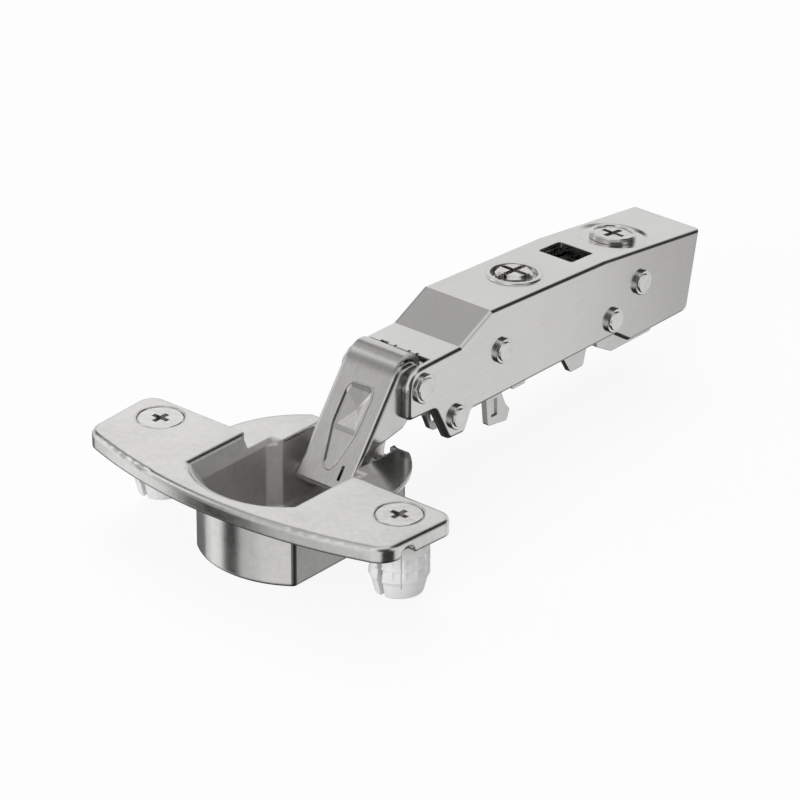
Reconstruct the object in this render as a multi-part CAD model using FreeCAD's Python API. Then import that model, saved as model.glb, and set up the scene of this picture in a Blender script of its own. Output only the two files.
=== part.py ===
import FreeCAD, Part
import math
import os

os.makedirs("parts", exist_ok=True)

Vector = FreeCAD.Vector

# Concealed cup hinge, door lying flat with its inner face at z = 0.
# Origin: centre of the cup boring on the door face. +Z leaves the door, +Y runs along the hinge arm.
# Side outlines are written as (y, z) or (y, z, corner radius).

# cup casting
cup_radius = 17.4
cup_depth = 12.8
cup_half_width = 10.8
cup_wall = 1.0
ear_face = 8.1
ear_start = 4.6
ear_slope = 2.3
lever_slot_half = 6.1
lever_slot_floor = -3.0
rear_wall_top = -0.2
rim_lip_radius = 18.2
rim_lip_height = 0.5
rim_lip_flat = 14.8

# knock-in dowels and their screws
screw_spacing = 52.0
screw_line = -5.6
screw_head_radius = 4.0
screw_head_height = 1.5
screw_shank_radius = 2.2
screw_shank_length = 9.0
cross_span = 3.3
dowel_radius = 5.0
dowel_length = 10.6
dowel_tip_radius = 4.0
dowel_plain = 2.8
dowel_seat = 0.4
dowel_neck = 0.3
dowel_barb = 0.35
dowel_barb_pitch = 2.3
dowel_rib_count = 14

# flange, its ends set by the screws
flange_half_rear = screw_spacing / 2 + 7.5
flange_half_front = flange_half_rear - 1.0
flange_front_corner = -16.3
flange_front_mid = -22.1
flange_thickness = 2.7
flange_edge_radius = 0.8
flange_rear_round = 3.0
flange_front_round = 4.0
arch_radius = 1.65
arch_y = -11.4
opening_half = 11.6
opening_corner = -14.3
opening_front = -19.3
opening_rear = 4.0
opening_edge = 0.5
opening_rear_radius = 1.5
bevel_foot = -0.3

# pivots, rest position (y, z)
cup_pin_outer = (9.0, -6.6)
cup_pin_inner = (13.0, -2.9)
outer_axle = (22.0, 8.6)
inner_axle = (30.4, 0.2)
spring_axle = (42.2, 8.1)
clip_stop = (72.15, 2.8)
clip_axle = (79.75, 7.3)
pin_radius = 1.25
rivet_radius = 1.1
running_gap = 0.05
pin_half_length = 9.85

# outer lever, folded channel
lever_half = 5.9
lever_sheet = 0.9
lever_origin = (12.1, 5.1)
lever_lean = math.radians(53.8)
lever_foot = -12.55
lever_crease = 9.8
curl_radius = 3.4
curl_half = 5.0
lever_eye = 2.2
axle_boss = 3.3
lever_throat = 3.3
emboss_depth = 0.35
pyramid_depth = 0.95
notch_x = 3.0
notch_low = -10.9
notch_high = -8.3

# inner lever
inner_half = 4.6
inner_sheet = 1.0
float_length = 3.1
float_height = 1.95
float_rise = 0.38

# arm channel
arm_half = 7.6
arm_sheet = 1.1
arm_bend = 0.85
arm_boss = 3.75
shelf_front = 24.9
shelf_notches = [(-3.6, 1.6), (-1.2, 0.4), (1.8, 0.4), (3.5, 0.5)]
arm_kink = 70.0
arm_top = [(shelf_front, 12.45), (31.7, 12.45), (39.6, 16.25), (arm_kink, 14.6), (96.4, 11.45)]
window_half = 3.7
window_middle = 68.4
window_length = 6.0
side_screw_y = 54.4
side_hole_radius = 4.1
side_rim_width = 1.1
depth_cam_y = 81.3
dish_radius = 6.4
dish_depth = 0.35
cam_shank_radius = 2.25
liner_sheet = 0.55
liner_rear = 45.2
head_radius = 2.25
outer_head_radius = 2.6
inner_head_radius = 2.2
head_height = 1.0

# cabinet adapter, sprung clip lever and adjusters
clip_plane = 6.4
clip_sheet = 1.1
clip_front = 69.3
clip_rear = 88.6
clip_low = -2.6
clip_high = 8.0
clip_swing = 12.0
adapter_drop = 2.95
adapter_front = 48.5
adapter_cheek_end = arm_kink - 3.4
adapter_rear = 83.5
tongue_half = 4.9
panel_depth = 0.35
depth_travel = 1.6
cam_swing = 150.0
cam_plate_radius = 6.1
groove_middle = 3.1
follower_radius = 0.7
follower_gap = 0.12
side_head_radius = 3.25
side_lobe_height = 0.75
cam_head_radius = 4.1
cam_ring_height = 0.75

# damper and springs
damper_axis_z = 2.4
damper_radius = 2.6
damper_start = 47.0
damper_end = 68.4
rod_radius = 1.0
rod_tip = 36.4
coil_wire = 0.55
coil_radius = 3.0
coil_turns = 5.5
clip_wire = 0.3
clip_coil_radius = 1.5
clip_coil_turns = 4

to_side = FreeCAD.Placement(Vector(0, 0, 0), FreeCAD.Rotation(Vector(1, 1, 1), 120))


def rounded_wire(points):
    """Closed wire through flat points, with an arc at each corner that has a radius."""
    corners = []
    for index, point in enumerate(points):
        here = Vector(point[0], point[1], 0)
        before = points[index - 1]
        after = points[(index + 1) % len(points)]
        back = (Vector(before[0], before[1], 0) - here).normalize()
        ahead = (Vector(after[0], after[1], 0) - here).normalize()
        radius = point[2] if len(point) == 3 else 0.0
        if radius == 0.0:
            corners.append((here, None, here))
            continue
        half = back.getAngle(ahead) / 2
        run = radius / math.tan(half)
        reach = radius / math.sin(half) - radius
        middle = here + (back + ahead).normalize() * reach
        corners.append((here + back * run, middle, here + ahead * run))
    edges = []
    for index, corner in enumerate(corners):
        start = corners[index - 1][2]
        if start.distanceToPoint(corner[0]) > 1e-6:
            edges.append(Part.LineSegment(start, corner[0]).toShape())
        if corner[1] is not None:
            edges.append(Part.Arc(corner[0], corner[1], corner[2]).toShape())
    return Part.Wire(edges)


def flat_plate(points, low, high):
    """Outline in x and y, between two heights."""
    plate = Part.Face(rounded_wire(points)).extrude(Vector(0, 0, high - low))
    plate.translate(Vector(0, 0, low))
    return plate


def side_plate(points, low, high):
    """Outline in y and z, between two x planes."""
    plate = flat_plate(points, low, high)
    plate.transformShape(to_side.toMatrix())
    return plate


def pair(points, low, high):
    """The same side plate on both sides of the centre plane."""
    return [side_plate(points, low, high), side_plate(points, -high, -low)]


def across(centre, radius, low, high):
    """Round bar along x."""
    return Part.makeCylinder(radius, high - low, Vector(low, centre[0], centre[1]), Vector(1, 0, 0))


def polar(centre, radius, degrees):
    angle = math.radians(degrees)
    return (centre[0] + radius * math.cos(angle), centre[1] + radius * math.sin(angle))


def ring_sector(centre, inner, outer, start, end, low, high):
    """Part of a tube along x, between two angles of the y-z plane."""
    middle = (start + end) / 2

    def arc(radius, first, last):
        stops = [polar(centre, radius, first), polar(centre, radius, middle), polar(centre, radius, last)]
        return Part.Arc(*[Vector(low, y, z) for y, z in stops]).toShape()

    def spoke(degrees, first, last):
        ends = [polar(centre, first, degrees), polar(centre, last, degrees)]
        return Part.LineSegment(*[Vector(low, y, z) for y, z in ends]).toShape()

    edges = [arc(outer, start, end), spoke(end, outer, inner),
             arc(inner, end, start), spoke(start, inner, outer)]
    return Part.Face(Part.Wire(edges)).extrude(Vector(high - low, 0, 0))


def shifted(points, distance):
    """Open line moved square to itself, to the right of its travel."""
    moved = []
    for index, point in enumerate(points):
        normals = []
        for first, last in ((index - 1, index), (index, index + 1)):
            if first < 0 or last >= len(points):
                continue
            run = points[last][0] - points[first][0]
            rise = points[last][1] - points[first][1]
            length = math.hypot(run, rise)
            normals.append((rise / length, -run / length))
        y = sum(normal[0] for normal in normals) / len(normals)
        z = sum(normal[1] for normal in normals) / len(normals)
        scale = distance / (y * y + z * z)
        moved.append((point[0] + y * scale, point[1] + z * scale))
    return moved


def height_on(line, y):
    """Height of an open line at one y."""
    for first, last in zip(line, line[1:]):
        if y <= last[0]:
            break
    return first[1] + (last[1] - first[1]) * (y - first[0]) / (last[0] - first[0])


def turned(points):
    """Solid of revolution about z from (radius, z) points."""
    outline = [Vector(radius, 0, z) for radius, z in points]
    wire = Part.makePolygon(outline + outline[:1])
    return Part.Face(wire).revolve(Vector(0, 0, 0), Vector(0, 0, 1), 360)


def cross_recess(span, width, depth, top):
    """Two crossed slots cut down from a height."""
    slots = []
    for size_x, size_y in ((span, width), (width, span)):
        slots.append(Part.makeBox(size_x, size_y, depth + 1, Vector(-size_x / 2, -size_y / 2, top - depth)))
    return slots[0].fuse(slots[1])


def round_edges(solid, radius, chosen):
    edges = [edge for edge in solid.Edges if chosen(edge)]
    return solid.makeFillet(radius, edges)


def upright(edge):
    return abs(edge.tangentAt(edge.FirstParameter).z) > 0.99


def write(name, shape):
    if shape.ShapeType == "Compound" and len(shape.Solids) == 1:
        shape = shape.Solids[0]
    shape.exportStep(os.path.join("parts", name + ".step"))


# cup and flange, one casting
outer_wall = Part.makeCylinder(cup_radius, cup_depth, Vector(0, 0, -cup_depth))
slab = Part.makeBox(2 * cup_half_width, 3 * cup_radius, cup_depth,
                    Vector(-cup_half_width, -1.5 * cup_radius, -cup_depth))
cup_body = outer_wall.common(slab)
cup_body = round_edges(cup_body, 0.8, upright)
cup_body = round_edges(cup_body, 0.5, lambda e: abs(e.BoundBox.ZMax + cup_depth) < 0.01)

flange_radius = (flange_half_front ** 2 + (flange_front_corner - flange_front_mid) ** 2) / (
    2 * (flange_front_corner - flange_front_mid))
flange_edges = [
    Part.LineSegment(Vector(-flange_half_front, flange_front_corner, 0), Vector(-flange_half_rear, 0, 0)),
    Part.LineSegment(Vector(-flange_half_rear, 0, 0), Vector(flange_half_rear, 0, 0)),
    Part.LineSegment(Vector(flange_half_rear, 0, 0), Vector(flange_half_front, flange_front_corner, 0)),
    Part.Arc(Vector(flange_half_front, flange_front_corner, 0), Vector(0, flange_front_mid, 0),
             Vector(-flange_half_front, flange_front_corner, 0)),
]
flange_wire = Part.Wire([edge.toShape() for edge in flange_edges])
flange = Part.Face(flange_wire).extrude(Vector(0, 0, flange_thickness))
flange = round_edges(flange, flange_rear_round, lambda e: upright(e) and e.CenterOfMass.y > -1)
flange = round_edges(flange, flange_front_round,
                     lambda e: upright(e) and e.CenterOfMass.y < flange_front_corner + 0.5)
flange = round_edges(flange, flange_edge_radius, lambda e: e.BoundBox.ZMin > flange_thickness - 0.01)

rim_lip = Part.makeCylinder(rim_lip_radius, rim_lip_height)
rim_lip = rim_lip.common(Part.makeBox(60, rim_lip_flat + 1, 5, Vector(-30, -1, -1)))
rim_lip = rim_lip.cut(Part.makeBox(2 * ear_face, 60, 5, Vector(-ear_face, -30, -1)))
casting = cup_body.fuse([flange, rim_lip])

cavity_radius = cup_radius - cup_wall
cavity_half = cup_half_width - cup_wall
cavity_floor = cup_wall - cup_depth


def on_cavity(x):
    return math.sqrt(cavity_radius ** 2 - x ** 2)


def plan_loop(corners, arcs):
    """Closed loop of straight edges, with arcs from a corner through a given point."""
    edges = []
    for index, corner in enumerate(corners):
        following = corners[(index + 1) % len(corners)]
        if index in arcs:
            edges.append(Part.Arc(Vector(*corner), Vector(*arcs[index]), Vector(*following)).toShape())
        else:
            edges.append(Part.LineSegment(Vector(*corner), Vector(*following)).toShape())
    return Part.Wire(edges)


cavity_loop = plan_loop(
    [(-cavity_half, -on_cavity(cavity_half), cavity_floor),
     (cavity_half, -on_cavity(cavity_half), cavity_floor),
     (cavity_half, ear_slope, cavity_floor), (ear_face, ear_start, cavity_floor),
     (ear_face, on_cavity(ear_face), cavity_floor), (-ear_face, on_cavity(ear_face), cavity_floor),
     (-ear_face, ear_start, cavity_floor), (-cavity_half, ear_slope, cavity_floor)],
    {0: (0, -cavity_radius, cavity_floor), 4: (0, cavity_radius, cavity_floor)})
cavity = Part.Face(cavity_loop).extrude(Vector(0, 0, cup_depth + rim_lip_height))
cavity = round_edges(cavity, 0.6, lambda e: abs(e.BoundBox.ZMax - cavity_floor) < 0.01)


def opening_loop(half, corner, front, z, rear):
    return plan_loop([(-half, corner, z), (half, corner, z), (half, rear, z), (-half, rear, z)],
                     {0: (0, front, z)})


bevel = Part.makeLoft([
    opening_loop(cavity_half, -on_cavity(cavity_half), -cavity_radius, bevel_foot, opening_rear),
    opening_loop(opening_half, opening_corner, opening_front, flange_thickness, opening_rear)], True, True)
behind = Part.makeBox(2 * cup_half_width, 3 * cup_radius, cup_depth,
                      Vector(-cup_half_width, 0, rim_lip_height))
edge_break = Part.makeLoft([
    opening_loop(opening_half - 0.1, opening_corner + 0.1, opening_front + 0.1,
                 flange_thickness - opening_edge, opening_rear),
    opening_loop(opening_half + opening_edge, opening_corner - 0.3, opening_front - opening_edge,
                 flange_thickness, opening_rear)], True, True)
casting = casting.cut([cavity, bevel, edge_break, behind])
for side in (-1, 1):
    corner = Part.makeBox(opening_rear_radius + 2, opening_rear_radius + 1, flange_thickness,
                          Vector(opening_half - 2, -opening_rear_radius, rim_lip_height))
    corner = corner.cut(Part.makeCylinder(opening_rear_radius, 3 * flange_thickness, Vector(
        opening_half + opening_rear_radius, -opening_rear_radius, -flange_thickness)))
    if side < 0:
        corner = corner.mirror(Vector(0, 0, 0), Vector(1, 0, 0))
    casting = casting.cut(corner)
lever_slot = Part.makeBox(2 * lever_slot_half, 10, 10,
                          Vector(-lever_slot_half, ear_start + 8, lever_slot_floor))
wall_drop = Part.makeBox(2 * ear_face, 10, 5, Vector(-ear_face, ear_start + 8, rear_wall_top))
casting = casting.cut([lever_slot, wall_drop])

for side in (-1, 1):
    seat = Vector(side * screw_spacing / 2, screw_line, 0)
    counterbore = Part.makeCylinder(screw_head_radius + running_gap, screw_head_height + 1,
                                    seat + Vector(0, 0, flange_thickness - screw_head_height))
    clearance = Part.makeCylinder(screw_shank_radius + 0.3, flange_thickness + 2, seat - Vector(0, 0, 1))
    dowel_hollow = Part.makeCylinder(dowel_radius + running_gap, dowel_seat + 1, seat - Vector(0, 0, 1))
    arch = Part.makeCylinder(arch_radius, 3, Vector(side * (flange_half_front - 1.2), arch_y, -0.15),
                             Vector(side, 0, 0))
    casting = casting.cut([counterbore, clearance, dowel_hollow, arch])

bores = []
for centre in (cup_pin_outer, cup_pin_inner):
    bores.append(across(centre, pin_radius, -pin_half_length, pin_half_length))
casting = casting.cut(bores)
write("cup", casting)
for name, bore in zip(("cup_pin_outer", "cup_pin_inner"), bores):
    write(name, bore)

# dowels and their screws: no barb or rib stands out past the plain band
bore_radius = screw_shank_radius + running_gap
dowel_profile = [(bore_radius, dowel_seat), (dowel_radius - dowel_neck, dowel_seat), (dowel_radius, 0)]
for ring in range(3):
    crest = -dowel_plain - ring * dowel_barb_pitch
    dowel_profile += [(dowel_radius, crest), (dowel_radius - dowel_barb, crest - 0.6)]
dowel_profile += [(dowel_tip_radius, -dowel_length), (bore_radius, -dowel_length)]
dowel = turned(dowel_profile)
rib_height = 3.7
rib_top = -dowel_plain - 0.3
rib = Part.makeBox(dowel_radius, 0.5, rib_height, Vector(0.25, -0.25, rib_top - rib_height))
rib = rib.common(Part.makeCylinder(dowel_radius - 0.05, 2 * rib_height, Vector(0, 0, -2 * rib_height)))
ribs = []
for count in range(dowel_rib_count):
    copy = rib.copy()
    copy.rotate(Vector(0, 0, 0), Vector(0, 0, 1), 360.0 * (count + 0.5) / dowel_rib_count)
    ribs.append(copy)
dowel = dowel.fuse(ribs).removeSplitter()
spread_slot = Part.makeBox(1.0, 4 * dowel_radius, dowel_length - 3,
                           Vector(-0.5, -2 * dowel_radius, -dowel_length))
dowel = dowel.cut([spread_slot, Part.makeCylinder(bore_radius, dowel_length, Vector(0, 0, -dowel_length))])

screw_top = flange_thickness - 0.05
screw_foot = flange_thickness - screw_head_height
screw = turned([(0, screw_top), (screw_head_radius - 0.25, screw_top),
                (screw_head_radius, screw_top - 0.25), (screw_head_radius, screw_foot),
                (screw_shank_radius, screw_foot),
                (screw_shank_radius, 1.2 - screw_shank_length), (0.6, -screw_shank_length),
                (0, -screw_shank_length)])
screw = screw.cut(cross_recess(cross_span, 0.9, 0.9, screw_top))

for side, label in ((-1, "left"), (1, "right")):
    place = Vector(side * screw_spacing / 2, screw_line, 0)
    write("dowel_" + label, dowel.translated(place))
    write("cup_screw_" + label, screw.translated(place))

# outer lever: s runs up the web, n into the channel
web_along = (math.cos(lever_lean), math.sin(lever_lean))
web_into = (math.sin(lever_lean), -math.cos(lever_lean))


def on_lever(s, n, *radius):
    y = lever_origin[0] + s * web_along[0] + n * web_into[0]
    z = lever_origin[1] + s * web_along[1] + n * web_into[1]
    return (y, z) + radius


def lever_local(point):
    y = point[0] - lever_origin[0]
    z = point[1] - lever_origin[1]
    return (y * web_along[0] + z * web_along[1], y * web_into[0] + z * web_into[1])


foot_s, foot_n = lever_local(cup_pin_outer)
boss_s, boss_n = lever_local(outer_axle)
cheek = [
    on_lever(lever_foot, 0, 0.6), on_lever(lever_crease, 0, 3.0),
    on_lever(boss_s + axle_boss, boss_n - 0.95 * axle_boss, 2.4),
    on_lever(boss_s + axle_boss, boss_n + axle_boss, 0.95 * axle_boss),
    on_lever(boss_s - 0.8 * axle_boss, boss_n + axle_boss, 2.0),
    on_lever(1.25, boss_n + 1.8, 1.0), on_lever(-3.4, lever_throat, 1.5),
    on_lever(foot_s + 1.05 * lever_eye, lever_throat, 0.8),
    on_lever(foot_s + lever_eye, foot_n + lever_eye, 0.8 * lever_eye),
    on_lever(foot_s - lever_eye, foot_n + lever_eye, 0.9 * lever_eye),
    on_lever(foot_s - 0.95 * lever_eye, foot_n - lever_eye, 1.0),
]
channel = side_plate(cheek, -lever_half, lever_half)


def on_fold(edge):
    s, n = lever_local((edge.CenterOfMass.y, edge.CenterOfMass.z))
    return abs(abs(edge.CenterOfMass.x) - lever_half) < 0.01 and abs(n) < 0.05 and edge.Length > 5


channel = round_edges(channel, lever_sheet, on_fold)
hollow = side_plate([on_lever(lever_foot - 6, lever_sheet), on_lever(lever_crease - 1.6, lever_sheet),
                     on_lever(lever_crease - 1.6, -2), on_lever(lever_crease + 8, -2),
                     on_lever(lever_crease + 8, 16), on_lever(lever_foot - 6, 16)],
                    -curl_half, curl_half)
channel = channel.cut(hollow)
curl_centre = on_lever(lever_crease, curl_radius)
curl_start = 90 + math.degrees(lever_lean)
curl = ring_sector(curl_centre, curl_radius - lever_sheet, curl_radius, curl_start, 4.0,
                   -curl_half, curl_half)
neck = side_plate([on_lever(lever_crease - 2.0, 0), on_lever(lever_crease + 0.01, 0),
                   on_lever(lever_crease + 0.01, lever_sheet), on_lever(lever_crease - 2.0, lever_sheet)],
                  -curl_half, curl_half)
outer_lever = channel.fuse([curl, neck])

# the emboss: a shallow kite with sloping sides, and a deeper pyramid in its upper half
emboss_outline = [(-2.2, 5.2), (2.6, 5.4), (3.0, 3.8), (2.8, -2.8), (1.4, -8.5), (0.4, -10.0), (-1.2, -9.3),
                  (-2.8, -2.1), (-2.8, 3.95)]
emboss_middle = (0.1, -1.6)
pyramid_outline = [(-1.7, 4.4), (2.1, 4.55), (2.35, 3.6), (2.1, -2.5), (-2.1, -2.2), (-2.25, 3.5)]
pyramid_middle = (0.33, 1.45)


def web_loop(outline, middle, share, n):
    loop = []
    for x, s in outline:
        y, z = on_lever(middle[1] + share * (s - middle[1]), n)
        loop.append(Vector(middle[0] + share * (x - middle[0]), y, z))
    return Part.makePolygon(loop + loop[:1])


def pressed(outline, middle, wide, narrow, low, high):
    """Tapered block pressed into the web, from one depth to another."""
    return Part.makeLoft([web_loop(outline, middle, wide, low), web_loop(outline, middle, narrow, high)],
                         True, True)


swell_floor = lever_sheet - 0.2
dents = [pressed(emboss_outline, emboss_middle, 1.07, 0.86, -0.1, emboss_depth),
         pressed(pyramid_outline, pyramid_middle, 1.04, 0.12, emboss_depth - 0.03, pyramid_depth)]
swells = [pressed(emboss_outline, emboss_middle, 1.0, 0.86, swell_floor, lever_sheet + emboss_depth),
          pressed(pyramid_outline, pyramid_middle, 1.1, 0.3, swell_floor, lever_sheet + pyramid_depth)]
outer_lever = outer_lever.fuse(swells).cut(dents)
notch = side_plate([on_lever(notch_low, -1.0), on_lever(notch_high, -1.0),
                    on_lever(notch_high, lever_sheet + 0.1), on_lever(notch_low, lever_sheet + 0.1)],
                   notch_x - 0.3, notch_x + 0.3)
outer_lever = outer_lever.cut([notch, across(cup_pin_outer, pin_radius + running_gap, -20, 20),
                               across(outer_axle, pin_radius + running_gap, -20, 20)])
write("outer_lever", outer_lever)

# inner lever: arched over the door's edge, with a floating eye at the arm
eye = (inner_axle[0], inner_axle[1] + float_rise)
inner_upper = [(12.3, -0.4), (13.5, 0.9), (14.6, 3.7), (16.9, 5.6), (20.4, 6.3), (24.6, 5.4), (28.2, 3.9)]
inner_lower = [(26.0, 0.9), (21.6, 3.2), (18.0, 2.9), (16.2, 1.3), (15.5, -1.0)]
inner_cheek = [(10.9, -2.2, 0.8)] + [point + (0.8,) for point in inner_upper]
inner_cheek += [(eye[0] + float_length + 1.2, eye[1] + float_height + 1.1, 2.6),
                (eye[0] + float_length + 1.2, eye[1] - float_height - 1.1, 2.6),
                (eye[0] - float_length + 0.2, eye[1] - float_height - 1.1, 1.5)]
inner_cheek += [point + (0.5,) for point in inner_lower]
inner_cheek += [(15.3, -5.1, 2.0), (10.9, -5.1, 2.0)]
inner_lever_cheeks = pair(inner_cheek, inner_half - inner_sheet, inner_half)
web_line = inner_upper[1:6]
inner_web = side_plate(web_line + shifted(web_line, inner_sheet)[::-1], -inner_half, inner_half)
inner_lever = inner_lever_cheeks[0].fuse([inner_lever_cheeks[1], inner_web])
float_outline = []
for side_y, side_z in ((-1, -1), (1, -1), (1, 1), (-1, 1)):
    float_outline.append((eye[0] + side_y * float_length, eye[1] + side_z * float_height,
                          float_height - 0.05))
float_slot = side_plate(float_outline, -20, 20)
inner_lever = inner_lever.cut([across(cup_pin_inner, pin_radius + running_gap, -20, 20), float_slot])
write("inner_lever", inner_lever)

# arm channel
nose = [(34.6, -0.2, 0.6), (32.9, -3.8, 1.2), (28.6, -3.6, 1.2), (25.0, 3.3, 1.4), (18.2, 3.6, 1.2),
        (outer_axle[0] - arm_boss, outer_axle[1] + arm_boss, arm_boss - 0.1)]
arm_outline = nose + arm_top + [(93.3, -3.1, 1.6), (77.0, -3.1, 0.8), (73.0, -0.5, 0.8)]
arm_solid = side_plate(arm_outline, -arm_half, arm_half)


def on_bend(edge):
    y = edge.CenterOfMass.y
    if abs(abs(edge.CenterOfMass.x) - arm_half) > 0.01 or y < shelf_front or edge.Length < 5:
        return False
    return abs(edge.CenterOfMass.z - height_on(arm_top, y)) < 0.05


arm_solid = round_edges(arm_solid, arm_bend, on_bend)
ceiling = shifted(arm_top, arm_sheet)
ceiling[0] = (shelf_front, ceiling[0][1])
hollow_outline = [(shelf_front, 30.0)] + ceiling
hollow_outline += [(120.0, ceiling[-1][1] - 3.0), (120.0, -20.0), (0.0, -20.0), (0.0, 30.0)]
arm_solid = arm_solid.cut(side_plate(hollow_outline, arm_sheet - arm_half, arm_half - arm_sheet))
for middle, width in shelf_notches:
    notch_start = Vector(middle - width / 2, shelf_front - 1.0, 10)
    arm_solid = arm_solid.cut(Part.makeBox(width, 1.5, 4, notch_start))

side_surface = height_on(arm_top, side_screw_y)
cam_surface = height_on(arm_top, depth_cam_y)
cam_tilt = math.degrees(math.atan2(arm_top[-1][1] - arm_top[-2][1], arm_top[-1][0] - arm_top[-2][0]))
side_tilt = math.degrees(math.atan2(arm_top[-2][1] - arm_top[-3][1], arm_top[-2][0] - arm_top[-3][0]))
across_axis = Vector(1, 0, 0)
cam_place = FreeCAD.Placement(Vector(0, depth_cam_y, cam_surface),
                              FreeCAD.Rotation(across_axis, cam_tilt))
side_place = FreeCAD.Placement(Vector(0, side_screw_y, side_surface),
                               FreeCAD.Rotation(across_axis, side_tilt))


def placed(shape, placement):
    copy = shape.copy()
    copy.transformShape(placement.toMatrix())
    return copy


rim = placed(turned([(side_hole_radius, -0.3), (side_hole_radius + side_rim_width, -0.3),
                     (side_hole_radius + side_rim_width - 0.4, 0.3), (side_hole_radius, 0.3)]), side_place)
dish = placed(turned([(0, -dish_depth), (dish_radius - 0.7, -dish_depth), (dish_radius, 0.0),
                      (dish_radius, 1.0), (0, 1.0)]), cam_place)
cam_bore = placed(Part.makeCylinder(cam_shank_radius + running_gap, 6, Vector(0, 0, -4)), cam_place)
window_front = window_middle - window_length / 2
window = Part.makeBox(2 * window_half, window_length, 10, Vector(-window_half, window_front, 10))
window = round_edges(window, 0.5, upright)
side_bore = placed(Part.makeCylinder(side_hole_radius, 6, Vector(0, 0, -4)), side_place)
arm_solid = arm_solid.fuse(rim).cut([dish, cam_bore, window, side_bore])
axles = {"outer_axle": (outer_axle, pin_radius), "inner_axle": (inner_axle, pin_radius),
         "spring_rivet": (spring_axle, rivet_radius), "clip_stop_rivet": (clip_stop, rivet_radius),
         "clip_axle": (clip_axle, rivet_radius)}
arm_solid = arm_solid.cut([across(centre, radius, -20, 20) for centre, radius in axles.values()])
write("arm", arm_solid)

# liner plates inside the arm's front end
liner_outline = nose[:-1] + [
    (outer_axle[0] - arm_boss, outer_axle[1] + 2.6, 2.2), (31.9, 11.2, 1.0), (39.5, 14.85, 1.0),
    (liner_rear, 14.5, 0.5), (liner_rear, 5.6, 1.0), (37.4, 5.6, 0.6), (36.2, 0.1, 0.6)]
for side, label in ((-1, "left"), (1, "right")):
    low, high = sorted((side * (arm_half - arm_sheet), side * (arm_half - arm_sheet - liner_sheet)))
    liner = side_plate(liner_outline, low, high)
    liner = liner.cut([across(outer_axle, pin_radius, -20, 20), across(inner_axle, pin_radius, -20, 20),
                       across(spring_axle, rivet_radius, -20, 20)])
    write("liner_" + label, liner)

# axles and rivets, with stepped heads on both cheeks
head_radii = {"outer_axle": outer_head_radius, "inner_axle": inner_head_radius}
for name, (centre, radius) in axles.items():
    head = head_radii.get(name, head_radius)
    rivet = across(centre, radius, -arm_half - head_height / 2, arm_half + head_height / 2)
    for side in (-1, 1):
        cap = turned([(0, 0), (head, 0), (head, head_height / 2), (head - 0.15, 0.65 * head_height),
                      (head - 0.55, 0.65 * head_height), (head - 0.65, head_height), (0, head_height)])
        cap.rotate(Vector(0, 0, 0), Vector(0, 1, 0), side * 90)
        cap.translate(Vector(side * arm_half, centre[0], centre[1]))
        rivet = rivet.fuse(cap)
    write(name, rivet.removeSplitter())


# coil springs
def coil(wire_radius, mean_radius, turns, centre, gap):
    """Close-wound coil about an axle, as a round wire swept along a helix."""
    pitch = 2 * wire_radius + gap
    helix = Part.makeHelix(pitch, pitch * turns, mean_radius)
    section = Part.Wire([Part.makeCircle(wire_radius, Vector(mean_radius, 0, 0), Vector(0, 1, 0))])
    body = Part.Wire(helix.Edges).makePipeShell([section], True, True)
    body.translate(Vector(0, 0, -pitch * turns / 2))
    body.rotate(Vector(0, 0, 0), Vector(1, 1, 1), 120)
    body.translate(Vector(0, centre[0], centre[1]))
    return body, pitch * turns / 2


def leg(start, end, wire_radius):
    """Straight end of a spring, with a rounded bend where it leaves the coil."""
    run = Vector(*end) - Vector(*start)
    bar = Part.makeCylinder(0.96 * wire_radius, run.Length, Vector(*start), run)
    return bar.fuse(Part.makeSphere(1.06 * wire_radius, Vector(*start)))


closing_spring, spring_reach = coil(coil_wire, coil_radius, coil_turns, spring_axle, 0.3)
rear_side = spring_axle[0] + coil_radius
front_side = spring_axle[0] - coil_radius
closing_spring = closing_spring.fuse([
    leg((-spring_reach, rear_side, spring_axle[1]), (-spring_reach, rear_side, 14.2), coil_wire),
    leg((spring_reach, front_side, spring_axle[1]), (spring_reach, front_side - 0.6, 2.5), coil_wire)])
write("closing_spring", closing_spring)
bobbin = across(spring_axle, coil_radius - coil_wire - 0.15, -4.9, 4.9)
bobbin = bobbin.fuse([across(spring_axle, coil_radius + 0.4, side, side + 1.1) for side in (-5.8, 4.7)])
write("spring_bobbin", bobbin.cut(across(spring_axle, rivet_radius, -20, 20)))

clip_spring, clip_reach = coil(clip_wire, clip_coil_radius, clip_coil_turns, clip_axle, 0.2)
clip_side = clip_axle[0] + clip_coil_radius
clip_spring = clip_spring.fuse([
    leg((-clip_reach, clip_side, clip_axle[1]),
        (-clip_reach, clip_side + 5.8, clip_axle[1] - 2.8), clip_wire),
    leg((clip_reach, clip_side, clip_axle[1]),
        (clip_reach, clip_side - 0.5, clip_axle[1] - 6.0), clip_wire)])
write("clip_spring", clip_spring)

# damper: cylinder hung on the clip stop rivet, rod towards the inner lever
along = Vector(0, 1, 0)
damper = Part.makeCylinder(damper_radius, damper_end - damper_start,
                           Vector(0, damper_start, damper_axis_z), along)
damper = round_edges(damper, 0.5, lambda e: e.BoundBox.YLength < 0.01)
lug_half = 2.2
lug = side_plate([(damper_end - 1.0, damper_axis_z - 1.6), (clip_stop[0], clip_stop[1] - lug_half),
                  (clip_stop[0] + lug_half, clip_stop[1] - lug_half, 2.0),
                  (clip_stop[0] + lug_half, clip_stop[1] + lug_half, 2.0),
                  (clip_stop[0], clip_stop[1] + lug_half), (damper_end - 1.0, damper_axis_z + 1.6)],
                 -1.8, 1.8)
bore = Part.makeCylinder(rod_radius + running_gap, 16.0, Vector(0, damper_start - 1, damper_axis_z), along)
write("damper_cylinder", damper.fuse(lug).cut([across(clip_stop, rivet_radius, -20, 20), bore]))
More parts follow.
